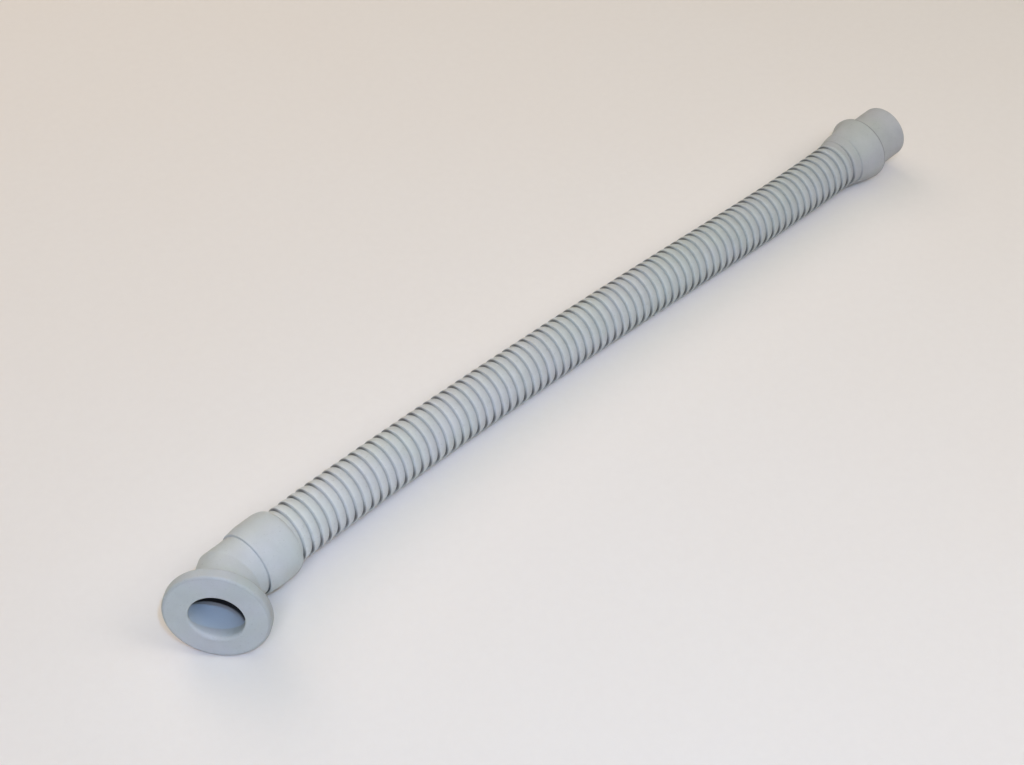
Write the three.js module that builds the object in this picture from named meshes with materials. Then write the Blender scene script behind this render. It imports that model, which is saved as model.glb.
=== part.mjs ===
import * as THREE from 'three';

// A washer vent hose lying at rest, in millimetres, +Z up.
// A corrugated tube runs along +X from a rubber elbow with a round flange to a straight end cuff.
// The floor is z = 0: the flange rim, the belly of the hose and the cuff rim all touch it.

// Corrugated hose
const hoseDiameter = 32;
const hoseWall = 2.3;
const plainEndDrop = 0.8;
const corrugationPitch = 6.25;
const visibleTurns = 75;
const windingTurns = 78;
const hiddenTurnsNear = 1.65;
const grooveDepth = 1.4;
const grooveShoulderDrop = 0.2;
const grooveHalfWidth = 1.5;
const hoseSides = 16;
const boreSpans = 30;

// Fit between the hose and its two connectors
const fitClearance = 0.3;

// Elbow connector: sleeve, mitred neck and flange
const sleeveWall = 2.9;
const sleeveMouthWall = 0.9;
const sleeveLength = 24;
const sleeveTaperLength = 7;
const sleeveTaperBulge = 0.7;
const plugDepthNear = 20;
const neckStep = 2.05;
const neckWall = 2.75;
const mitreToSleeve = 11.8;
const mitreToFace = 27.6;
const flangeDiameter = 55;
const flangeThickness = 7.4;
const flangeFillet = 3;
const rimChamfer = 1.2;
const mouthRounding = 0.8;
const flangeHeadingDegrees = -139;
const flangeTiltDegrees = 6.9;
const elbowSides = 40;

// Straight connector: collar, cuff and spigot
const collarWall = 1.6;
const collarLip = 0.8;
const collarLength = 18.5;
const shoulderStep = 1.6;
const shoulderLength = 4.5;
const shoulderBulge = 0.5;
const cuffDiameter = 43.5;
const cuffTaper = 0.5;
const cuffLength = 5.3;
const plugDepthFar = 22;
const spigotDiameter = 35.4;
const spigotLength = 25.1;
const spigotWall = 2.7;
const spigotChamfer = 0.5;
const connectorSides = 32;

// Lie of the hose on the floor
const sideBow = 6.9;
const sideSway = 4.2;
const restStart = 0.45;
const restEnd = 0.8;

const hoseRadius = hoseDiameter / 2;
const boreRadius = hoseRadius - hoseWall;
const plainRadius = hoseRadius - plainEndDrop;
const socketRadius = hoseRadius + fitClearance;
const freeLength = visibleTurns * corrugationPitch;
const mitreDistance = sleeveLength + mitreToSleeve;
const cuffFaceDistance = collarLength + shoulderLength + cuffLength;

// The flange faces sideways from the hose, with a small upward tilt.
const flangeHeading = THREE.MathUtils.degToRad(flangeHeadingDegrees);
const flangeTilt = THREE.MathUtils.degToRad(flangeTiltDegrees);
const flangeDirection = new THREE.Vector3(
  Math.cos(flangeTilt) * Math.cos(flangeHeading),
  Math.cos(flangeTilt) * Math.sin(flangeHeading),
  Math.sin(flangeTilt)
);

// Centreline of the free hose. It comes down from the flange end, rests, and rises again to the cuff.
// Each lift is what puts the rim at that end on the floor, when the end runs on straight.
class HoseLine extends THREE.Curve {
  constructor(span) {
    super();
    this.span = span;
    const rimDistance = mitreToFace - flangeThickness + rimChamfer;
    const rimHeight = (flangeDiameter / 2) * Math.cos(flangeTilt) - rimDistance * Math.sin(flangeTilt);
    const nearRun = (restStart * span) / 2;
    const farRun = ((1 - restEnd) * span) / 2;
    this.nearLift = (nearRun * (rimHeight - hoseRadius)) / (nearRun + mitreDistance);
    this.farLift = (farRun * (cuffDiameter / 2 - hoseRadius)) / (farRun + cuffFaceDistance);
  }

  getPoint(t, target = new THREE.Vector3()) {
    const arch = 4 * t * (1 - t);
    const near = Math.max(0, 1 - t / restStart);
    const far = Math.max(0, (t - restEnd) / (1 - restEnd));
    return target.set(
      this.span * t,
      arch * (sideBow + sideSway * (1 - 2 * t)),
      hoseRadius + this.nearLift * near ** 2 + this.farLift * far ** 2
    );
  }
}

// The span is the straight distance that gives the free hose its real length along the curve.
const hoseLine = new HoseLine(freeLength ** 2 / new HoseLine(freeLength).getLength());

// A frame across the hose, at a distance from the elbow's mouth. Past either end the line is straight.
const frameAt = (distance) => {
  const u = THREE.MathUtils.clamp(distance / freeLength, 0, 1);
  const along = hoseLine.getTangentAt(u);
  const centre = hoseLine.getPointAt(u).addScaledVector(along, distance - u * freeLength);
  const side = new THREE.Vector3(0, 0, 1).cross(along).normalize();
  const up = along.clone().cross(side);
  return { centre, along, side, up };
};

const pointAround = ({ centre, side, up }, radius, angle) =>
  centre.clone()
    .addScaledVector(side, radius * Math.cos(angle))
    .addScaledVector(up, radius * Math.sin(angle));

const ringAround = (frame, radius, sides) =>
  Array.from({ length: sides }, (_, i) => pointAround(frame, radius, (2 * Math.PI * i) / sides));

const geometryFrom = (points, triangles) => {
  const geometry = new THREE.BufferGeometry().setFromPoints(points);
  geometry.setIndex(triangles);
  geometry.computeVertexNormals();
  return geometry;
};

// One closed wall from a loop of rings: along the outside, then back through the bore.
const closedWall = (rings) => {
  const sides = rings[0].length;
  const triangles = [];
  rings.forEach((ring, r) => {
    const here = r * sides;
    const next = ((r + 1) % rings.length) * sides;
    ring.forEach((_, i) => {
      const j = (i + 1) % sides;
      triangles.push(here + i, here + j, next + j, here + i, next + j, next + i);
    });
  });
  return geometryFrom(rings.flat(), triangles);
};

// Corrugated hose: one left-handed groove winds round the outside, the bore is smooth,
// and a plain end of smaller diameter plugs into each connector.
const corrugatedHose = () => {
  const profile = [
    { shift: 0, drop: 0 },
    { shift: corrugationPitch / 2 - grooveHalfWidth, drop: grooveShoulderDrop },
    { shift: corrugationPitch / 2, drop: grooveDepth },
    { shift: corrugationPitch / 2 + grooveHalfWidth, drop: grooveShoulderDrop },
  ];
  const steps = windingTurns * hoseSides;
  const windingStart = -hiddenTurnsNear * corrugationPitch;
  const windingEnd = windingStart + (windingTurns + 1) * corrugationPitch;
  const points = [];
  const triangles = [];

  const add = (distance, radius, step) =>
    points.push(pointAround(frameAt(distance), radius, (-2 * Math.PI * step) / hoseSides)) - 1;
  const addRing = (distance, radius) =>
    Array.from({ length: hoseSides }, (_, step) => add(distance, radius, step));
  const quad = (a, b, c, d) => triangles.push(a, b, c, a, c, d);
  const advance = (step) => windingStart + (corrugationPitch * step) / hoseSides;

  // Grid along the helix, with the groove fading in and out over its first and last turn.
  const grid = Array.from({ length: steps + 1 }, (_, step) => {
    const fade = Math.min(1, step / hoseSides, (steps - step) / hoseSides);
    return profile.map(({ shift, drop }) => add(advance(step) + shift, hoseRadius - fade * drop, step));
  });
  const lastEdge = Array.from({ length: hoseSides }, (_, i) =>
    add(advance(steps + 1 + i), hoseRadius, steps + 1 + i)
  );
  // The row after a turn's last one is the first row of the next turn.
  const vertex = (step, row) => {
    if (row < profile.length && step <= steps) return grid[step][row];
    const at = row < profile.length ? step : step + hoseSides;
    return at <= steps ? grid[at][0] : lastEdge[at - steps - 1];
  };
  for (let step = 0; step < steps; step += 1) {
    profile.forEach((_, row) => {
      quad(vertex(step, row), vertex(step, row + 1), vertex(step + 1, row + 1), vertex(step + 1, row));
    });
  }

  // Plain ends and bore, as rings that carry on from the helix's first and last edge.
  const nearRing = addRing(windingStart - corrugationPitch / 2, plainRadius);
  const farRing = addRing(windingEnd + corrugationPitch / 2, plainRadius);
  for (let i = 0; i < hoseSides; i += 1) {
    const j = (i + 1) % hoseSides;
    quad(nearRing[i], vertex(i, 0), vertex(i + 1, 0), nearRing[j]);
    quad(vertex(steps + i, 0), farRing[i], farRing[j], vertex(steps + i + 1, 0));
  }
  profile.forEach((_, row) => {
    triangles.push(nearRing[0], vertex(0, row + 1), vertex(0, row));
    triangles.push(farRing[0], vertex(steps, row), vertex(steps, row + 1));
  });

  const nearEnd = -plugDepthNear;
  const farEnd = freeLength + plugDepthFar;
  const boreRings = Array.from({ length: boreSpans + 1 }, (_, i) =>
    addRing(farEnd + ((nearEnd - farEnd) * i) / boreSpans, boreRadius)
  );
  const rings = [farRing, addRing(farEnd, plainRadius), ...boreRings, addRing(nearEnd, plainRadius), nearRing];
  rings.slice(1).forEach((ring, r) => {
    ring.forEach((_, i) => {
      const j = (i + 1) % hoseSides;
      quad(rings[r][i], ring[i], ring[j], rings[r][j]);
    });
  });
  return geometryFrom(points, triangles);
};

// Elbow connector: rings run from the flange's face, round the mitre and out to the sleeve's mouth.
const elbowConnector = () => {
  const mouth = frameAt(0);
  const mitre = mouth.centre.clone().addScaledVector(mouth.along, -mitreDistance);
  const across = mouth.along.clone().cross(flangeDirection).normalize();
  const hoseUp = mouth.along.clone().cross(across);
  const flangeUp = flangeDirection.clone().negate().cross(across);
  const bisector = hoseUp.clone().add(flangeUp).divideScalar(1 + hoseUp.dot(flangeUp));

  const ring = (centre, up, radius) => ringAround({ centre, side: across, up }, radius, elbowSides);
  const flangeRing = (distance, radius) =>
    ring(mitre.clone().addScaledVector(flangeDirection, distance), flangeUp, radius);
  const hoseRing = (distance, radius) =>
    ring(mitre.clone().addScaledVector(mouth.along, distance), hoseUp, radius);
  const mitreRing = (radius) => ring(mitre, bisector, radius);

  const flangeRadius = flangeDiameter / 2;
  const flangeBack = mitreToFace - flangeThickness;
  const sleeveRadius = socketRadius + sleeveWall;
  const mouthRadius = socketRadius + sleeveMouthWall;
  const neckRadius = sleeveRadius - neckStep;
  const neckBore = neckRadius - neckWall;
  const taperMiddle = (sleeveRadius + mouthRadius) / 2 + sleeveTaperBulge;
  const socketFloor = mitreDistance - plugDepthNear - fitClearance;
  return closedWall([
    flangeRing(mitreToFace, flangeRadius - rimChamfer),
    flangeRing(mitreToFace - rimChamfer, flangeRadius),
    flangeRing(flangeBack + rimChamfer, flangeRadius),
    flangeRing(flangeBack, flangeRadius - rimChamfer),
    flangeRing(flangeBack, neckRadius + flangeFillet),
    flangeRing(flangeBack - flangeFillet, neckRadius),
    mitreRing(neckRadius),
    hoseRing(mitreToSleeve, neckRadius),
    hoseRing(mitreToSleeve, sleeveRadius),
    hoseRing(mitreDistance - sleeveTaperLength, sleeveRadius),
    hoseRing(mitreDistance - sleeveTaperLength / 2, taperMiddle),
    hoseRing(mitreDistance, mouthRadius),
    hoseRing(mitreDistance, socketRadius),
    hoseRing(socketFloor, socketRadius),
    hoseRing(socketFloor, neckBore),
    mitreRing(neckBore),
    flangeRing(mitreToFace - mouthRounding, neckBore),
    flangeRing(mitreToFace, neckBore + mouthRounding),
  ]);
};

// Straight connector: a thin collar over the last turns, a stepped cuff and a spigot.
const straightConnector = () => {
  const ring = (distance, radius) => ringAround(frameAt(freeLength + distance), radius, connectorSides);
  const collarRadius = socketRadius + collarWall;
  const stepRadius = collarRadius + shoulderStep;
  const cuffRadius = cuffDiameter / 2;
  const shoulderMiddle = (stepRadius + cuffRadius - cuffTaper) / 2 + shoulderBulge;
  const spigotRadius = spigotDiameter / 2;
  const spigotBore = spigotRadius - spigotWall;
  const spigotEnd = cuffFaceDistance + spigotLength;
  const socketFloor = plugDepthFar + fitClearance;
  return closedWall([
    ring(0, collarRadius - collarLip),
    ring(collarLip, collarRadius),
    ring(collarLength, collarRadius),
    ring(collarLength, stepRadius),
    ring(collarLength + shoulderLength / 2, shoulderMiddle),
    ring(collarLength + shoulderLength, cuffRadius - cuffTaper),
    ring(cuffFaceDistance, cuffRadius),
    ring(cuffFaceDistance, spigotRadius),
    ring(spigotEnd - spigotChamfer, spigotRadius),
    ring(spigotEnd, spigotRadius - spigotChamfer),
    ring(spigotEnd, spigotBore),
    ring(socketFloor, spigotBore),
    ring(socketFloor, socketRadius),
    ring(0, socketRadius),
  ]);
};

const group = new THREE.Group();
const addPart = (name, geometry, color) => {
  const material = new THREE.MeshStandardMaterial({ color, roughness: 0.6, metalness: 0 });
  const mesh = new THREE.Mesh(geometry, material);
  mesh.name = name;
  group.add(mesh);
};
addPart('elbow_connector', elbowConnector(), 0xbbc3c9);
addPart('corrugated_hose', corrugatedHose(), 0xb5bcc1);
addPart('straight_connector', straightConnector(), 0xa5a8ab);

// The whole part is moved so that its origin is under the middle of its length and width.
const box = new THREE.Box3().setFromObject(group);
const middle = box.getCenter(new THREE.Vector3());
group.position.set(-middle.x, -middle.y, 0);

export default group;
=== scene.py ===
import math

import bpy
import numpy as np
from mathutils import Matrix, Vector


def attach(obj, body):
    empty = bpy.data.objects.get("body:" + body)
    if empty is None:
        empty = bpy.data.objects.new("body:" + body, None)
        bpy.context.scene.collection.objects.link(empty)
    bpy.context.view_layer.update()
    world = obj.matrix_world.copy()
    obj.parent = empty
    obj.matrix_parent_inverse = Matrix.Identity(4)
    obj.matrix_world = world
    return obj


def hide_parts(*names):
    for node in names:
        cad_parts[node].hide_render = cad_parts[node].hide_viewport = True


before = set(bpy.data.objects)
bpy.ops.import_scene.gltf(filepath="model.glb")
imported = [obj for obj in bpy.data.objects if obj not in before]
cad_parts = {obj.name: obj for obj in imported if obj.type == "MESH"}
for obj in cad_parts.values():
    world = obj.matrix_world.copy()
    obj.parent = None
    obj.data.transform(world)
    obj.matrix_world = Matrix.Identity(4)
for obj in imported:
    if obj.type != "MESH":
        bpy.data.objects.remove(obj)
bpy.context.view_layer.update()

# Lengths are in millimetres and angles in radians. mesh_from writes metres.
MM = 0.001

# Corrugated hose
HOSE_RADIUS = 16.0
BORE_RADIUS = 13.7
PLAIN_RADIUS = 15.2
PITCH = 6.25
TURNS = 75
FREE_LENGTH = PITCH * TURNS
PLUG_NEAR = 20.0
PLUG_FAR = 22.0
WINDING_TURNS = 78
WINDING_START = -1.65 * PITCH
HOSE_SIDES = 60
BORE_RINGS = 90
BORE_CHAMFER = 0.3

# One rib, measured along the hose from the groove before it
GROOVE_DEPTH = 2.0
CUSP_HALF_WIDTH = 0.6
CUSP_POWER = 1.5
CROWN_AT = 1.1
RIB_FALL_NEAR = 0.45
RIB_FALL_FAR = 1.15

# Rows of points across one pitch, as distances from the groove
ROW_PLACES = [-PITCH / 2, -2.5, -1.9, -1.4, -0.95, -0.6, -0.38, -0.2, -0.08]
ROW_PLACES += [0.02, 0.15, 0.32, 0.6, 0.9, 1.2, 1.7, 2.4]

# Painted shade in the grooves: a fine line on the side that faces the lamps, wider beside it and
# fainter underneath
LIGHT_FACING_SIDE = math.radians(122)
LIGHT_FACING_WIDTH = math.radians(34)
LIGHT_FACING_SOFTNESS = math.radians(38)
LIGHT_FACING_SHADE = 0.25
UNDER_FROM = math.radians(74)
UNDER_SOFTNESS = math.radians(20)
UNDER_LOSS = 0.5
SHADE_REACH_NEAR = 0.35
SHADE_REACH_FAR = 0.3
SHADE_REACH_BESIDE = 0.9
SHADE_FULLNESS = 1.3
FLANK_SHADE = 0.21
FLANK_SHADE_POWER = 1.3

# Lie of the hose: its rise towards the two ends, and its sideways bow
ORIGIN = np.array([-224.58350, 8.99036, 0.0])
SPAN = 468.19472
BOW = 6.9
SWAY = 4.2
REST_START = 0.45
REST_END = 0.8
NEAR_LIFT = 6.51563
FAR_LIFT = 3.58378
LINE_SAMPLES = 8001

# Both connectors
CONNECTOR_SIDES = 120
SOCKET_RADIUS = 16.3
PLUG_CLEARANCE = 0.3

# Elbow connector: neck and sleeve
NECK_RADIUS = 17.15
NECK_BORE = 14.4
NECK_CHAMFER = 0.4
MITRE_REACH = 0.7
BORE_MITRE_REACH = 2.5
MITRE_TO_SLEEVE = 11.8
MITRE_TO_FACE = 27.6
SLEEVE_RADIUS = 19.2
SLEEVE_LENGTH = 24.0
SLEEVE_SWELL = 0.8
SLEEVE_SWELL_LENGTH = 8
SLEEVE_FALL = 7.0
SLEEVE_FALL_POWER = 0.9
MITRE_DISTANCE = SLEEVE_LENGTH + MITRE_TO_SLEEVE
SLEEVE_ROOT_TURN = math.radians(303)
SLEEVE_ROOT_SHADE = 0.06
NECK_SHADE = 0.04
NECK_SHADE_TURN = math.radians(140)

# Elbow connector: flange
FLANGE_RADIUS = 27.5
FLANGE_THICKNESS = 7.4
FLANGE_HEADING = math.radians(-139)
FLANGE_TILT = math.radians(6.9)
FACE_RINGS = (17.0, 19.0, 21.5, 24.0)
FACE_ROUND = 1.9
BACK_ROUND = 2.4
BACK_ROUND_FALL = 2.2
SWEEP_RADIUS = 24.8
SWEEP_LENGTH = 6.5
RIM_SHADE = 0.12
RIM_SHADE_TURN = math.radians(280)

# Elbow connector: bore with its painted shadow, and lip of the mouth
BORE_TURN = math.radians(22)
BORE_DARK_FROM = 22.5
BORE_DARK_LEAST = 7.0
BORE_DARK_SOFTNESS = 0.5
LIP_DEPTH = 6.4
LIP_TURN = math.radians(10)
LIP_THICKNESS = 0.1
LIP_THICKNESS_TOP = 0.9
LIP_SOFTNESS = 0.6
LIP_SOFTNESS_BOTTOM = 2.4

# Straight connector: collar and cuff
COLLAR_LENGTH = 14
COLLAR_FADE = 16.0
COLLAR_START = 2.5
CUFF_RADIUS = 21.75
CUFF_FACE = 28.3
CUFF_EDGE_LENGTH = 2.1
CUFF_EDGE_FALL = 1.2
STEP_TURN = math.radians(15)
STEP_AT = 19.9
STEP_LINE_WIDTH = 0.7
STEP_SHADE = 0.35
LOW_TURN = math.radians(200)

# Outlines of the cuff where its step is crisp and where it is a flare: distance and radius
STEPPED_OUTLINE = np.array(
    [
        (0, 16.05),
        (3, 16.4),
        (6, 17.0),
        (9, 17.7),
        (13, 18.1),
        (17, 17.8),
        (19.4, 17.7),
        (20.0, 17.9),
        (20.9, 19.3),
        (22, 20.0),
        (24, 20.7),
        (26, 21.3),
        (CUFF_FACE, CUFF_RADIUS),
    ]
)
FLARED_OUTLINE = np.array(
    [
        (0, 16.05),
        (3, 16.5),
        (6, 17.15),
        (9, 17.9),
        (12, 18.7),
        (16, 19.8),
        (20, 20.8),
        (24, 21.4),
        (CUFF_FACE, CUFF_RADIUS),
    ]
)

# Rings of the cuff's outside as first place, last place and count, closest over the winding
OUTSIDE_RINGS = (
    (0, COLLAR_LENGTH, 90),
    (14.4, 20, 15),
    (20.15, 21, 8),
    (21.5, CUFF_FACE - 2.4, 12),
)

# Straight connector: spigot
SPIGOT_RADIUS = 17.7
SPIGOT_SHIFT = 0.4
SPIGOT_SHIFT_TURN = math.radians(215)
SPIGOT_LENGTH = 25.1
SPIGOT_BORE = 15.0
SPIGOT_END_ROUND = 1.2
SPIGOT_BORE_ROUND = 0.7

# Undercut at the spigot's root: past the cuff's face, past the spigot's radius, painted shade
SPIGOT_ROOT = ((0, 0.5, 1), (-0.4, 0.2, 1), (-0.4, -0.4, 1), (0.3, -0.4, 0.9), (0.7, -0.1, 0.4))

# Camera: metres and degrees, with the focal length in pixels of the picture
CAMERA_PLACE = (-0.50115, -0.44609, 0.64095)
CAMERA_DOWN = 44.22
CAMERA_HEADING = 45.71
FOCAL_PIXELS = 1550
PICTURE_PIXELS = 1024
SENSOR_WIDTH = 36.0

# Floor and room, in metres
FLOOR_HALF = 4.0
FLOOR_FADE_FROM = 0.75
FLOOR_FADE_TO = 1.6
BACKDROP = (0.82, 0.80, 0.80)
ROOM_COLOUR = (0.9, 0.95, 1.0)
ROOM_STRENGTH = 0.02


# Geometry helpers
def unit(v):
    return v / np.linalg.norm(v, axis=-1, keepdims=True)


def smooth_step(x):
    x = np.clip(x, 0, 1)
    return x * x * (3 - 2 * x)


def facing(angle, turn):
    """1 on the side at the given turn, falling to 0 a quarter turn away."""
    return np.clip(np.cos(angle - turn), 0, 1)


def hose_line(t):
    """Centre of the hose from the elbow's mouth at 0 to the cuff's collar at 1."""
    arch = 4 * t * (1 - t)
    near = np.clip(1 - t / REST_START, 0, None)
    far = np.clip((t - REST_END) / (1 - REST_END), 0, None)
    points = np.stack(
        [
            SPAN * t,
            arch * (BOW + SWAY * (1 - 2 * t)),
            HOSE_RADIUS + NEAR_LIFT * near**2 + FAR_LIFT * far**2,
        ],
        -1,
    )
    return points + ORIGIN


def sampled_line():
    """Distances from the elbow's mouth, with the hose's centre and direction at each."""
    points = hose_line(np.linspace(0, 1, LINE_SAMPLES))
    steps = np.linalg.norm(np.diff(points, axis=0), axis=1)
    distance = np.concatenate([[0], np.cumsum(steps)])
    distance *= FREE_LENGTH / distance[-1]
    along = np.gradient(points, distance, axis=0, edge_order=2)
    return distance, points, unit(along)


line_distance, line_points, line_along = sampled_line()


def frames_at(distance):
    """Centre, along, side and up of the hose at distances from the elbow's mouth."""
    distance = np.atleast_1d(np.asarray(distance, float))
    inside = np.clip(distance, 0, FREE_LENGTH)
    centre = np.stack([np.interp(inside, line_distance, c) for c in line_points.T], -1)
    along = np.stack([np.interp(inside, line_distance, c) for c in line_along.T], -1)
    along = unit(along)
    centre = centre + along * (distance - inside)[:, None]
    side = unit(np.cross([0.0, 0.0, 1.0], along))
    up = np.cross(along, side)
    return centre, along, side, up


def points_around(distance, radius, angle):
    centre, _, side, up = frames_at(distance)
    radius = np.asarray(radius, float)
    angle = np.asarray(angle, float)
    return (
        centre
        + side * (radius * np.cos(angle))[:, None]
        + up * (radius * np.sin(angle))[:, None]
    )


def winding_phase(distance, angle):
    """0 on a crown's middle and 0.5 in the groove, for the left-handed winding."""
    return np.mod((distance - WINDING_START) / PITCH + angle / (2 * np.pi), 1.0)


def flank_share(phase):
    """0 on a rib's crown, up to 1 down the long flank that faces the cuff."""
    past = np.mod(phase - 0.5, 1.0) * PITCH
    return np.clip((past - CROWN_AT) / (PITCH - CROWN_AT), 0, 1)


def groove_drop(phase):
    """How far the surface lies under the crown: leaning ribs that meet in a narrow cusp."""
    past = np.mod(phase - 0.5, 1.0) * PITCH
    near = RIB_FALL_NEAR * np.clip(1 - past / CROWN_AT, 0, 1) ** 2
    rib = near + RIB_FALL_FAR * flank_share(phase) ** 2
    cusp = np.clip(1 - np.minimum(past, PITCH - past) / CUSP_HALF_WIDTH, 0, 1) ** CUSP_POWER
    return rib + (GROOVE_DEPTH - rib) * cusp


def groove_mark(phase, angle, shown):
    """Painted shade in the groove and on the flank beside it, as far as the winding is shown."""
    off = np.abs(np.mod(angle - LIGHT_FACING_SIDE + np.pi, 2 * np.pi) - np.pi)
    beside = smooth_step((off - LIGHT_FACING_WIDTH) / LIGHT_FACING_SOFTNESS)
    beside = beside * (1 - UNDER_LOSS * smooth_step((off - UNDER_FROM) / UNDER_SOFTNESS))
    past = (np.mod(phase, 1.0) - 0.5) * PITCH
    reach = np.where(past < 0, SHADE_REACH_NEAR, SHADE_REACH_FAR + SHADE_REACH_BESIDE * beside)
    most = LIGHT_FACING_SHADE + (1 - LIGHT_FACING_SHADE) * beside
    groove_shade = most * smooth_step(SHADE_FULLNESS * (1 - np.abs(past) / reach))
    return np.maximum(groove_shade, FLANK_SHADE * flank_share(phase) ** FLANK_SHADE_POWER) * shown


def bend(start, corner, end, t):
    """The point at share t of a curve from start to end that is pulled towards a corner."""
    return (1 - t) ** 2 * start + 2 * t * (1 - t) * corner + t**2 * end


def rounding(start, corner, end, count):
    """Places and radii along a rounded edge, each of the three given as (place, radius)."""
    start, corner, end = np.array(start), np.array(corner), np.array(end)
    return [bend(start, corner, end, t) for t in np.linspace(0, 1, count)]


def mesh_from(name, points, faces, sharp_degrees, **attributes):
    mesh = bpy.data.meshes.new(name)
    mesh.from_pydata((np.asarray(points) * MM).tolist(), [], [list(map(int, f)) for f in faces])
    mesh.validate()
    for key, values in attributes.items():
        layer = mesh.attributes.new(key, "FLOAT", "POINT")
        layer.data.foreach_set("value", np.asarray(values, np.float32))
    mesh.shade_smooth()
    mesh.set_sharp_from_angle(angle=math.radians(sharp_degrees))
    mesh.update()
    obj = bpy.data.objects.new(name, mesh)
    bpy.context.scene.collection.objects.link(obj)
    return obj


def loop_faces(ring_count, sides):
    """Quads between neighbouring rings, and from the last ring back to the first."""
    faces = []
    for r in range(ring_count):
        here = r * sides
        there = ((r + 1) % ring_count) * sides
        for i in range(sides):
            j = (i + 1) % sides
            faces.append((here + i, here + j, there + j, there + i))
    return faces


# Camera
camera_data = bpy.data.cameras.new("camera")
camera_data.sensor_width = SENSOR_WIDTH
camera_data.lens = SENSOR_WIDTH * FOCAL_PIXELS / PICTURE_PIXELS
camera_data.clip_start = 0.01
camera_data.clip_end = 20
camera = bpy.data.objects.new("camera", camera_data)
bpy.context.scene.collection.objects.link(camera)
camera.location = CAMERA_PLACE
camera.rotation_euler = (math.radians(90 - CAMERA_DOWN), 0, math.radians(CAMERA_HEADING - 90))
bpy.context.scene.camera = camera


# Hose
def build_hose():
    sides = HOSE_SIDES
    shifts = np.array(ROW_PLACES) + PITCH / 2
    rows = len(shifts)
    steps = WINDING_TURNS * sides
    step = np.arange(steps + 1)
    fade = np.clip(np.minimum(step, steps - step) / sides, 0, 1)
    advance = WINDING_START + PITCH * step / sides
    angle = -2 * np.pi * step / sides
    grid = []
    marks = []
    for shift in shifts:
        phase = np.full(steps + 1, shift / PITCH)
        drop = groove_drop(phase) * fade
        marks.append(groove_mark(phase, angle, fade))
        grid.append(points_around(advance + shift, HOSE_RADIUS - drop, angle))
    points = [np.stack(grid, 1).reshape(-1, 3)]
    groove = [np.stack(marks, 1).reshape(-1)]
    inner = [np.zeros((steps + 1) * rows)]
    count = (steps + 1) * rows

    def add_points(distance, radius, angle, inside):
        """Adds one turn of unmarked points and gives their numbers."""
        nonlocal count
        points.append(points_around(distance, np.full(sides, radius), angle))
        groove.append(np.zeros(sides))
        inner.append(np.full(sides, inside))
        start = count
        count += sides
        return list(range(start, start + sides))

    # One more turn closes the last rib on its far side
    edge_step = steps + 1 + np.arange(sides)
    edge_at = WINDING_START + PITCH * edge_step / sides
    edge = add_points(edge_at, HOSE_RADIUS, -2 * np.pi * edge_step / sides, 0)

    def vertex(s, row):
        """Number of a point. The row past the last is the first one of the next turn."""
        if row < rows and s <= steps:
            return s * rows + row
        at = s if row < rows else s + sides
        return at * rows if at <= steps else edge[at - steps - 1]

    faces = []
    for s in range(steps):
        for row in range(rows):
            faces.append(
                (vertex(s, row), vertex(s, row + 1), vertex(s + 1, row + 1), vertex(s + 1, row))
            )

    ring_angle = -2 * np.pi * np.arange(sides) / sides

    def add_ring(distance, radius, inside=0):
        return add_points(np.full(sides, distance), radius, ring_angle, inside)

    # The winding runs out into the plain ends
    winding_end = WINDING_START + (WINDING_TURNS + 1) * PITCH
    near_ring = add_ring(WINDING_START - PITCH / 2, PLAIN_RADIUS)
    far_ring = add_ring(winding_end + PITCH / 2, PLAIN_RADIUS)
    for i in range(sides):
        j = (i + 1) % sides
        faces.append((near_ring[i], vertex(i, 0), vertex(i + 1, 0), near_ring[j]))
        faces.append((vertex(steps + i, 0), far_ring[i], far_ring[j], vertex(steps + i + 1, 0)))
    for row in range(rows):
        faces.append((near_ring[0], vertex(0, row + 1), vertex(0, row)))
        faces.append((far_ring[0], vertex(steps, row), vertex(steps, row + 1)))

    # Plain far end, the bore back to the near end, and the plain near end
    near_end = -PLUG_NEAR
    far_end = FREE_LENGTH + PLUG_FAR
    rings = [far_ring, add_ring(far_end, PLAIN_RADIUS)]
    rings.append(add_ring(far_end, BORE_RADIUS + BORE_CHAMFER, 1))
    for distance in np.linspace(far_end - BORE_CHAMFER, near_end + BORE_CHAMFER, BORE_RINGS):
        rings.append(add_ring(distance, BORE_RADIUS, 1))
    rings.append(add_ring(near_end, BORE_RADIUS + BORE_CHAMFER, 1))
    rings.append(add_ring(near_end, PLAIN_RADIUS))
    rings.append(near_ring)
    for before, after in zip(rings[:-1], rings[1:]):
        for i in range(sides):
            j = (i + 1) % sides
            faces.append((before[i], after[i], after[j], before[j]))

    return mesh_from(
        "hose_corrugated",
        np.concatenate(points),
        faces,
        sharp_degrees=50,
        groove=np.concatenate(groove),
        inner=np.concatenate(inner),
    )


hose = build_hose()
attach(hose, "root")
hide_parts("corrugated_hose")


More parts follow.
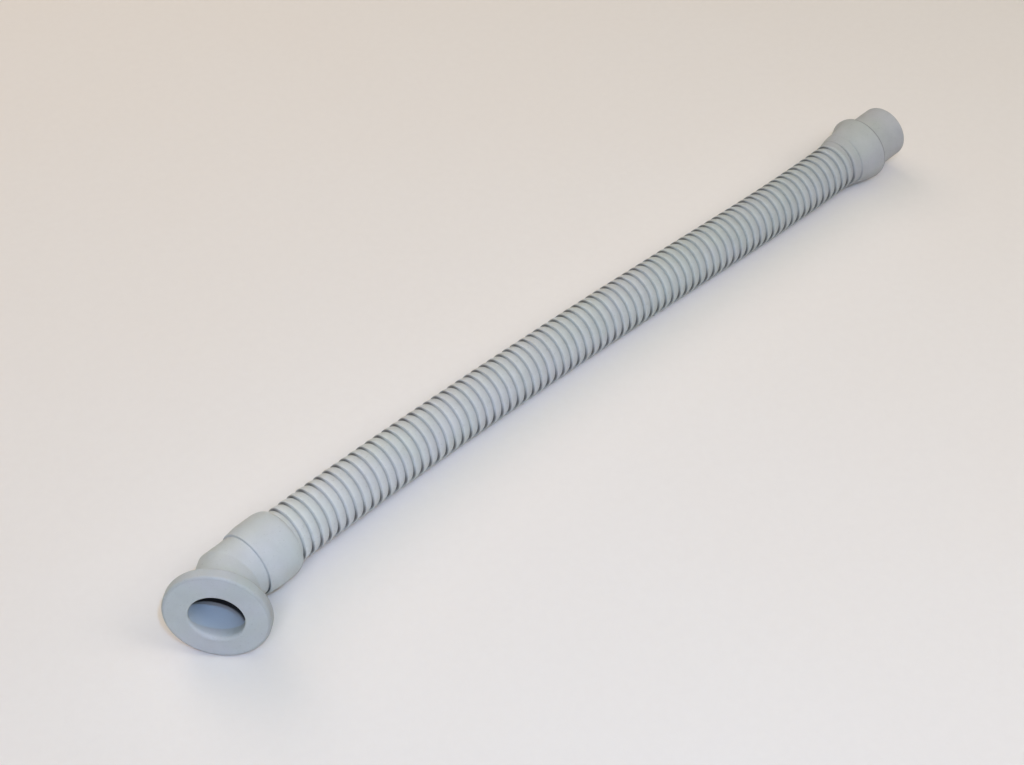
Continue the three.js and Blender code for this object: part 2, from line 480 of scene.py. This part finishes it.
# Elbow connector
def build_elbow():
    sides = CONNECTOR_SIDES
    centre, along, _, _ = frames_at(0.0)
    mouth, along = centre[0], along[0]
    mitre = mouth - along * MITRE_DISTANCE
    flange = np.array(
        [
            math.cos(FLANGE_TILT) * math.cos(FLANGE_HEADING),
            math.cos(FLANGE_TILT) * math.sin(FLANGE_HEADING),
            math.sin(FLANGE_TILT),
        ]
    )
    across = unit(np.cross(along, flange))
    hose_up = np.cross(along, across)
    flange_up = np.cross(-flange, across)
    bisector = (hose_up + flange_up) / (1 + hose_up @ flange_up)
    angle = 2 * np.pi * np.arange(sides) / sides
    cos, sin = np.cos(angle)[:, None], np.sin(angle)[:, None]

    rings = []
    inner = []
    groove = []

    def keep(points, inside, mark):
        rings.append(points)
        inner.append(np.broadcast_to(inside, sides))
        groove.append(np.broadcast_to(mark, sides))

    def flange_ring(distance, radius, inside=0.0, mark=0.0):
        """A ring round the flange's axis, at a distance from the mitre."""
        spoke = cos * across + sin * flange_up
        distance = np.broadcast_to(distance, sides)[:, None]
        radius = np.broadcast_to(radius, sides)[:, None]
        keep(mitre + flange * distance + radius * spoke, inside, mark)

    def hose_ring(distance, radius, inside=0.0, mark=0.0):
        """A ring round the hose's axis, at a distance from the mitre."""
        spoke = cos * across + sin * hose_up
        keep(mitre + along * distance + radius * spoke, inside, mark)

    def mitre_rings(radius, reach, order, inside=0.0, mark=0.0):
        """Rings round the corner of the neck, from 0 on the flange's side to 1 on the hose's."""
        corner = mitre + radius * (cos * across + sin * bisector)
        for t in order:
            keep(bend(corner + flange * reach, corner, corner + along * reach, t), inside, mark)

    # Flange face and the rounded edges of its rim
    face = MITRE_TO_FACE
    back = face - FLANGE_THICKNESS
    for r in FACE_RINGS:
        flange_ring(face, r)
    rim_mark = RIM_SHADE * (1 + facing(angle, RIM_SHADE_TURN) ** 2)
    rim = FLANGE_RADIUS
    for x, r in rounding((face, rim - FACE_ROUND), (face, rim), (face - FACE_ROUND, rim), 8):
        flange_ring(x, r, mark=rim_mark * smooth_step((r - rim + FACE_ROUND) / 0.8))
    for x, r in rounding((back + BACK_ROUND, rim), (back, rim), (back, rim - BACK_ROUND_FALL), 8):
        flange_ring(x, r, mark=rim_mark)

    # Back of the flange, sweeping into the neck
    sweep_from = (back - 0.1, SWEEP_RADIUS)
    sweep_corner = (back - 1.8, NECK_RADIUS + 1.2)
    for x, r in rounding(sweep_from, sweep_corner, (back - SWEEP_LENGTH, NECK_RADIUS), 12):
        flange_ring(x, r)
    neck_mark = NECK_SHADE * facing(angle, NECK_SHADE_TURN)
    flange_ring(back - 8, NECK_RADIUS, mark=neck_mark)
    mitre_rings(NECK_RADIUS, MITRE_REACH, np.linspace(0, 0.5, 5), mark=neck_mark)
    mitre_rings(NECK_RADIUS, MITRE_REACH, np.linspace(0.6, 1, 5))

    # Root of the sleeve: a fine undercut with painted shade, heavier at its low end, then the sleeve's
    # rounded edge
    root = MITRE_TO_SLEEVE
    low_end = facing(angle, SLEEVE_ROOT_TURN) ** 6
    root_shade = SLEEVE_ROOT_SHADE + (1 - SLEEVE_ROOT_SHADE) * low_end
    hose_ring(root - 2.0, NECK_RADIUS)
    hose_ring(root - 0.9, NECK_RADIUS)
    hose_ring(root - 0.5, NECK_RADIUS, mark=0.6 * low_end)
    hose_ring(root, NECK_RADIUS, mark=root_shade)
    hose_ring(root + 0.12, NECK_RADIUS + 0.12, mark=root_shade)
    hose_ring(root + 0.25, NECK_RADIUS + 0.5, mark=0.9 * low_end)
    edge = SLEEVE_RADIUS - SLEEVE_SWELL
    for x, r in rounding((root + 0.25, edge - 0.45), (root + 0.25, edge), (root + 0.8, edge), 6):
        hose_ring(x, r)
    for x in np.linspace(root + 1.6, root + SLEEVE_SWELL_LENGTH, 7):
        hose_ring(x, edge + SLEEVE_SWELL * smooth_step((x - root) / SLEEVE_SWELL_LENGTH))

    # Rounded end of the sleeve, down to the skin of the hose
    fall_from = MITRE_DISTANCE - SLEEVE_FALL
    hose_ring(fall_from - 2, SLEEVE_RADIUS)
    skin = HOSE_RADIUS + 0.06
    for turn in np.linspace(0, math.pi / 2, 17):
        out = math.cos(turn) ** SLEEVE_FALL_POWER
        hose_ring(fall_from + SLEEVE_FALL * math.sin(turn), skin + (SLEEVE_RADIUS - skin) * out)
    hose_ring(MITRE_DISTANCE, HOSE_RADIUS + 0.02)

    # Socket that holds the hose, and the bore's mitre, painted in full shade
    hose_ring(MITRE_DISTANCE - 2, SOCKET_RADIUS)
    socket_floor = MITRE_DISTANCE - PLUG_NEAR - PLUG_CLEARANCE
    hose_ring(socket_floor, SOCKET_RADIUS)
    hose_ring(socket_floor, NECK_BORE + NECK_CHAMFER, inside=1, mark=1)
    hose_ring(socket_floor - NECK_CHAMFER, NECK_BORE, inside=1, mark=1)
    hose_ring(socket_floor - 3, NECK_BORE, inside=1, mark=1)
    mitre_rings(NECK_BORE, BORE_MITRE_REACH, np.linspace(1, 0, 7), inside=1, mark=1)

    # Bore of the neck, with the painted shadow of the mouth's top edge where it is deep
    dark_from = np.maximum(BORE_DARK_FROM * facing(angle, BORE_TURN), BORE_DARK_LEAST)
    for depth in np.linspace(face - 3.2, LIP_DEPTH + 0.7, 40):
        dark = smooth_step((depth - dark_from) / BORE_DARK_SOFTNESS)
        flange_ring(face - depth, NECK_BORE, inside=1, mark=dark)

    # Pale lip, thicker at the top, with a soft edge that is wider at the bottom
    soft = LIP_SOFTNESS + LIP_SOFTNESS_BOTTOM * facing(angle, LIP_TURN) ** 1.5
    lip_depth = np.maximum(LIP_DEPTH * facing(angle, -LIP_TURN) ** 0.7, soft + 0.6)
    lip = NECK_BORE - LIP_THICKNESS - LIP_THICKNESS_TOP * facing(angle, math.pi)
    flange_ring(face - lip_depth - 0.6, NECK_BORE, inside=1)
    flange_ring(face - lip_depth, (NECK_BORE + lip) / 2, inside=0.5)
    flange_ring(face - lip_depth + 0.4, lip)
    flange_ring(face - (lip_depth + soft) / 2, lip)
    for t in np.linspace(0, 1, 9):
        flange_ring(face - soft * (1 - t) ** 2, lip + 0.1 + soft * t**2)
    return mesh_from(
        "elbow_moulding",
        np.concatenate(rings),
        loop_faces(len(rings), sides),
        sharp_degrees=40,
        groove=np.concatenate(groove),
        inner=np.concatenate(inner),
    )


elbow = build_elbow()
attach(elbow, "root")
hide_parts("elbow_connector")


# Straight connector
def build_cuff():
    sides = CONNECTOR_SIDES
    angle = 2 * np.pi * np.arange(sides) / sides
    # The step is crisp on one side and melts into a smooth flare round the rest
    crisp = smooth_step((np.cos(angle - STEP_TURN) - 0.78) / 0.16)
    low_side = np.clip(0.65 + 0.65 * np.cos(angle - LOW_TURN), 0.15, 1)
    rings = []
    groove = []
    inner = []

    def ring(distance, radius, mark=0.0, inside=0.0):
        """A ring round the hose's axis, at a distance past the hose's free length."""
        radius = np.broadcast_to(radius, sides)
        rings.append(points_around(np.full(sides, FREE_LENGTH + distance), radius, angle))
        groove.append(np.broadcast_to(mark, sides))
        inner.append(np.full(sides, inside))

    def imprint(distance):
        """How deep the winding shows through the collar at each angle, 1 on the bare hose."""
        fade = 1 - smooth_step(distance / COLLAR_FADE)
        start = 1 - smooth_step(distance / COLLAR_START)
        return fade * (start + (1 - start) * low_side)

    def outside(distance):
        """Radius and darkness of the collar and cuff at each angle."""
        smooth = np.interp(distance, *FLARED_OUTLINE.T)
        stepped = np.interp(distance, *STEPPED_OUTLINE.T)
        phase = winding_phase(FREE_LENGTH + distance, angle)
        shown = imprint(distance)
        cut = groove_drop(phase) * shown
        mark = groove_mark(phase, angle, shown)
        return crisp * stepped + (1 - crisp) * smooth - cut, mark

    # Collar and flare, over the last turns of the winding
    for d in np.concatenate([np.linspace(*stretch) for stretch in OUTSIDE_RINGS]):
        radius, mark = outside(d)
        # Painted shade along the crisp step
        painted_step_shade = STEP_SHADE * crisp * max(0, 1 - abs(d - STEP_AT) / STEP_LINE_WIDTH)
        ring(d, radius, np.maximum(mark, painted_step_shade))

    # Far edge of the cuff: rounded, with painted shade towards the root of the spigot
    edge_from = (CUFF_FACE - CUFF_EDGE_LENGTH, CUFF_RADIUS)
    edge_to = (CUFF_FACE, CUFF_RADIUS - CUFF_EDGE_FALL)
    for x, r in rounding(edge_from, (CUFF_FACE, CUFF_RADIUS), edge_to, 12):
        ring(x, r, 0.75 * smooth_step((x - CUFF_FACE + CUFF_EDGE_LENGTH) / 1.6))

    def spigot_ring(distance, radius, mark=0.0):
        """A ring whose centre sits a little to the low side."""
        drift = SPIGOT_SHIFT * np.cos(angle - SPIGOT_SHIFT_TURN)
        ring(distance, radius + drift, mark)

    # Spigot, its rounded end and the bore behind it
    for ahead, out, mark in SPIGOT_ROOT:
        spigot_ring(CUFF_FACE + ahead, SPIGOT_RADIUS + out, mark)
    end = CUFF_FACE + SPIGOT_LENGTH
    for x in np.linspace(CUFF_FACE + 1.5, end - 2.2, 8):
        spigot_ring(x, SPIGOT_RADIUS)
    end_from = (end - SPIGOT_END_ROUND, SPIGOT_RADIUS)
    end_to = (end, SPIGOT_RADIUS - SPIGOT_END_ROUND)
    for x, r in rounding(end_from, (end, SPIGOT_RADIUS), end_to, 7):
        spigot_ring(x, r)
    bore_from = (end, SPIGOT_BORE + SPIGOT_BORE_ROUND)
    bore_to = (end - SPIGOT_BORE_ROUND, SPIGOT_BORE)
    for x, r in rounding(bore_from, (end, SPIGOT_BORE), bore_to, 5):
        ring(x, r, inside=0.5)
    socket_floor = PLUG_FAR + PLUG_CLEARANCE
    for x in np.linspace(end - 2, socket_floor, 8):
        ring(x, SPIGOT_BORE, inside=1)
    ring(socket_floor, SOCKET_RADIUS, inside=1)

    # The socket hugs the hose near its lip, so no gap shows there
    for d in np.linspace(COLLAR_LENGTH, 0, 60):
        radius, _ = outside(d)
        ring(d, np.minimum(radius - 0.04, SOCKET_RADIUS), inside=1)
    return mesh_from(
        "straight_moulding",
        np.concatenate(rings),
        loop_faces(len(rings), sides),
        sharp_degrees=40,
        groove=np.concatenate(groove),
        inner=np.concatenate(inner),
    )


cuff = build_cuff()
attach(cuff, "root")
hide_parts("straight_connector")


# Materials
class Nodes:
    """Small helper to write a node material."""

    def __init__(self, name):
        self.material = bpy.data.materials.new(name)
        self.material.use_nodes = True
        self.tree = self.material.node_tree
        self.tree.nodes.clear()
        self.out = self.add("ShaderNodeOutputMaterial")
        self.shader = self.add("ShaderNodeBsdfPrincipled")
        self.link(self.shader.outputs[0], self.out.inputs[0])

    def add(self, kind, **settings):
        node = self.tree.nodes.new(kind)
        for key, value in settings.items():
            setattr(node, key, value)
        return node

    def link(self, a, b):
        self.tree.links.new(a, b)

    def coordinates(self):
        return self.add("ShaderNodeTexCoord").outputs["Object"]

    def split_x(self, where):
        node = self.add("ShaderNodeSeparateXYZ")
        self.link(where, node.inputs[0])
        return node.outputs[0]

    def attribute(self, name):
        return self.add("ShaderNodeAttribute", attribute_name=name).outputs["Fac"]

    def shifted(self, where, offset):
        node = self.add("ShaderNodeVectorMath", operation="ADD")
        node.inputs[1].default_value = offset
        self.link(where, node.inputs[0])
        return node.outputs[0]

    def value_map(self, value, from_low, from_high, to_low, to_high):
        node = self.add("ShaderNodeMapRange")
        node.inputs["From Min"].default_value = from_low
        node.inputs["From Max"].default_value = from_high
        node.inputs["To Min"].default_value = to_low
        node.inputs["To Max"].default_value = to_high
        self.link(value, node.inputs["Value"])
        return node.outputs[0]

    def noise(self, where, scale, detail, rough, low, high):
        """Noise as a value from 0 to 1 between low and high."""
        node = self.add("ShaderNodeTexNoise")
        node.inputs["Scale"].default_value = scale
        node.inputs["Detail"].default_value = detail
        node.inputs["Roughness"].default_value = rough
        self.link(where, node.inputs["Vector"])
        return self.value_map(node.outputs["Fac"], low, high, 0, 1)

    def mix(self, factor, a, b, blend="MIX", amount=1.0):
        """Mixes a with b, each a colour or a socket, by a socket's value times the amount."""
        node = self.add("ShaderNodeMix", data_type="RGBA", blend_type=blend)
        self.link(self.value_map(factor, 0, 1, 0, amount), node.inputs[0])
        for socket, value in ((node.inputs[6], a), (node.inputs[7], b)):
            if isinstance(value, tuple):
                socket.default_value = (*value, 1)
            else:
                self.link(value, socket)
        return node.outputs[2]

    def bump(self, layers):
        """Chains bump maps given as (height socket, strength, distance in metres)."""
        before = None
        for height, strength, distance in layers:
            node = self.add("ShaderNodeBump")
            node.inputs["Strength"].default_value = strength
            node.inputs["Distance"].default_value = distance
            self.link(height, node.inputs["Height"])
            if before:
                self.link(before, node.inputs["Normal"])
            before = node.outputs[0]
        self.link(before, self.shader.inputs["Normal"])


def moulded(
    name, base, green, lilac, dark, rough, bump, groove_dark, groove_colour, bore_light_and_shade, far_end_shade=None
):
    """Matte moulded skin: soft drifting tint, fine grain, painted shade in grooves, creases and the
    deep bore, a painted bore colour for the light inside it, and optional painted shade towards the far
    end.
    """
    n = Nodes(name)
    where = n.coordinates()
    beside = n.shifted(where, (3.1, 1.7, 0.4))
    between = n.shifted(where, (0.7, 5.3, 2.1))
    beyond = n.shifted(where, (1.3, 0.2, 7.7))
    greener = n.noise(where, scale=26, detail=2, rough=0.5, low=0.38, high=0.62)
    bluer = n.noise(beside, scale=34, detail=2, rough=0.5, low=0.4, high=0.62)
    cloud = n.noise(between, scale=90, detail=4, rough=0.6, low=0.35, high=0.68)
    grain = n.noise(where, scale=2600, detail=3, rough=0.6, low=0.3, high=0.7)
    speck = n.noise(beyond, scale=900, detail=2, rough=0.5, low=0.62, high=0.75)
    colour = n.mix(greener, base, green, amount=0.6)
    colour = n.mix(bluer, colour, lilac, amount=0.45)
    colour = n.mix(cloud, colour, dark, amount=0.10)
    colour = n.mix(speck, colour, dark, amount=0.22)
    # Painted shade: darker towards the far end, where the lamps give less light
    if far_end_shade:
        along = n.value_map(n.split_x(where), -0.2, 0.25, 0, 1)
        colour = n.mix(along, colour, far_end_shade, blend="MULTIPLY")
    # Bore colour: painted light inside the elbow, painted shade inside the hose and cuff
    colour = n.mix(n.attribute("inner"), colour, bore_light_and_shade)
    # Painted shade in grooves, creases, undercuts and the deep bore
    colour = n.mix(n.attribute("groove"), colour, groove_colour, amount=groove_dark)
    n.link(colour, n.shader.inputs["Base Color"])
    n.link(n.value_map(cloud, 0, 1, rough - 0.07, rough + 0.08), n.shader.inputs["Roughness"])
    n.shader.inputs["Specular IOR Level"].default_value = 0.35
    n.bump([(cloud, 0.12, 0.0006), (grain, bump, 0.00012)])
    return n.material


elbow.data.materials.append(
    moulded(
        "elbow_rubber",
        base=(0.525, 0.565, 0.575),
        green=(0.505, 0.565, 0.55),
        lilac=(0.535, 0.55, 0.61),
        dark=(0.24, 0.26, 0.27),
        rough=0.58,
        bump=0.25,
        groove_dark=0.97,
        groove_colour=(0.015, 0.018, 0.024),
        # Painted light: the elbow's bore is lighter and bluer, for the cool lamp's light inside it
        bore_light_and_shade=(0.53, 0.615, 0.69),
    )
)
hose.data.materials.append(
    moulded(
        "hose_plastic",
        base=(0.62, 0.655, 0.67),
        green=(0.60, 0.655, 0.645),
        lilac=(0.63, 0.64, 0.705),
        dark=(0.14, 0.155, 0.16),
        rough=0.48,
        bump=0.18,
        groove_dark=0.88,
        groove_colour=(0.06, 0.06, 0.054),
        # Painted shade: the hose's bore is dark
        bore_light_and_shade=(0.10, 0.12, 0.14),
        # Painted shade on the hose towards its far end
        far_end_shade=(0.74, 0.765, 0.755),
    )
)
cuff.data.materials.append(
    moulded(
        "cuff_rubber",
        base=(0.417, 0.44, 0.437),
        green=(0.407, 0.443, 0.422),
        lilac=(0.422, 0.43, 0.475),
        dark=(0.15, 0.16, 0.16),
        rough=0.58,
        bump=0.25,
        groove_dark=0.85,
        groove_colour=(0.10, 0.11, 0.11),
        # Painted shade: the cuff's bore and socket are dark
        bore_light_and_shade=(0.20, 0.21, 0.205),
    )
)


# Floor, backdrop and light
def seen_directly(tree):
    """1 for the rays that show a background: camera, glossy and transmission rays."""
    ray = tree.nodes.new("ShaderNodeLightPath")
    total = ray.outputs["Is Camera Ray"]
    for kind in ("Is Glossy Ray", "Is Transmission Ray"):
        either = tree.nodes.new("ShaderNodeMath")
        either.operation = "MAXIMUM"
        tree.links.new(total, either.inputs[0])
        tree.links.new(ray.outputs[kind], either.inputs[1])
        total = either.outputs[0]
    return total


def floor_sheet():
    """Pale sheet that turns into the backdrop far from the hose."""
    n = Nodes("floor_sheet")
    where = n.coordinates()
    cloud = n.noise(where, scale=7, detail=3, rough=0.5, low=0.35, high=0.65)
    fine = n.noise(where, scale=160, detail=3, rough=0.6, low=0.3, high=0.7)
    colour = n.mix(cloud, (0.82, 0.795, 0.77), (0.82, 0.80, 0.78))
    colour = n.mix(fine, colour, (0.79, 0.765, 0.745), amount=0.35)
    n.link(colour, n.shader.inputs["Base Color"])
    n.shader.inputs["Roughness"].default_value = 0.85
    n.shader.inputs["Specular IOR Level"].default_value = 0.2
    n.bump([(fine, 0.15, 0.0004)])
    reach = n.add("ShaderNodeVectorMath", operation="LENGTH")
    n.link(where, reach.inputs[0])
    far = n.value_map(reach.outputs["Value"], FLOOR_FADE_FROM, FLOOR_FADE_TO, 0, 1)
    fade = n.add("ShaderNodeMath", operation="MULTIPLY")
    n.link(far, fade.inputs[0])
    n.link(seen_directly(n.tree), fade.inputs[1])
    glow = n.add("ShaderNodeEmission")
    glow.inputs["Color"].default_value = (*BACKDROP, 1)
    blend = n.add("ShaderNodeMixShader")
    n.link(fade.outputs[0], blend.inputs[0])
    n.link(n.shader.outputs[0], blend.inputs[1])
    n.link(glow.outputs[0], blend.inputs[2])
    n.link(blend.outputs[0], n.out.inputs[0])
    return n.material


def build_floor():
    half = FLOOR_HALF
    corners = [(-half, -half, 0), (half, -half, 0), (half, half, 0), (-half, half, 0)]
    mesh = bpy.data.meshes.new("floor")
    mesh.from_pydata(corners, [], [(0, 1, 2, 3)])
    floor = bpy.data.objects.new("floor", mesh)
    bpy.context.scene.collection.objects.link(floor)
    floor.data.materials.append(floor_sheet())


def build_room():
    world = bpy.data.worlds.new("studio")
    world.use_nodes = True
    tree = world.node_tree
    room = tree.nodes["Background"]
    room.inputs[0].default_value = (*ROOM_COLOUR, 1)
    room.inputs[1].default_value = ROOM_STRENGTH
    backdrop = tree.nodes.new("ShaderNodeBackground")
    backdrop.inputs[0].default_value = (*BACKDROP, 1)
    backdrop.inputs[1].default_value = 1.0
    choice = tree.nodes.new("ShaderNodeMixShader")
    tree.links.new(seen_directly(tree), choice.inputs[0])
    tree.links.new(room.outputs[0], choice.inputs[1])
    tree.links.new(backdrop.outputs[0], choice.inputs[2])
    tree.links.new(choice.outputs[0], tree.nodes["World Output"].inputs[0])
    bpy.context.scene.world = world


def area_light(name, place, size, power, colour):
    """A square lamp that faces the middle of the hose, in metres and watts."""
    data = bpy.data.lights.new(name, "AREA")
    data.shape = "SQUARE"
    data.size = size
    data.energy = power
    data.color = colour
    light = bpy.data.objects.new(name, data)
    bpy.context.scene.collection.objects.link(light)
    light.location = place
    light.rotation_euler = Vector(place).to_track_quat("Z", "Y").to_euler()


build_floor()
build_room()
area_light("flash", (-0.45, -0.50, 0.80), size=0.03, power=2.9, colour=(0.37, 0.62, 1.0))
area_light("window", (-1.6, -1.6, 2.5), size=1.2, power=38.0, colour=(0.92, 0.88, 1.0))
area_light("side", (0.5, -1.1, 1.4), size=0.9, power=8.2, colour=(1.0, 0.90, 0.79))
area_light("back", (0.0, 1.4, 1.4), size=1.2, power=11.5, colour=(1.0, 0.83, 0.72))
area_light("top", (0.0, 0.0, 2.6), size=2.6, power=21.5, colour=(1.0, 0.93, 0.61))

bpy.context.scene.view_settings.view_transform = "Standard"
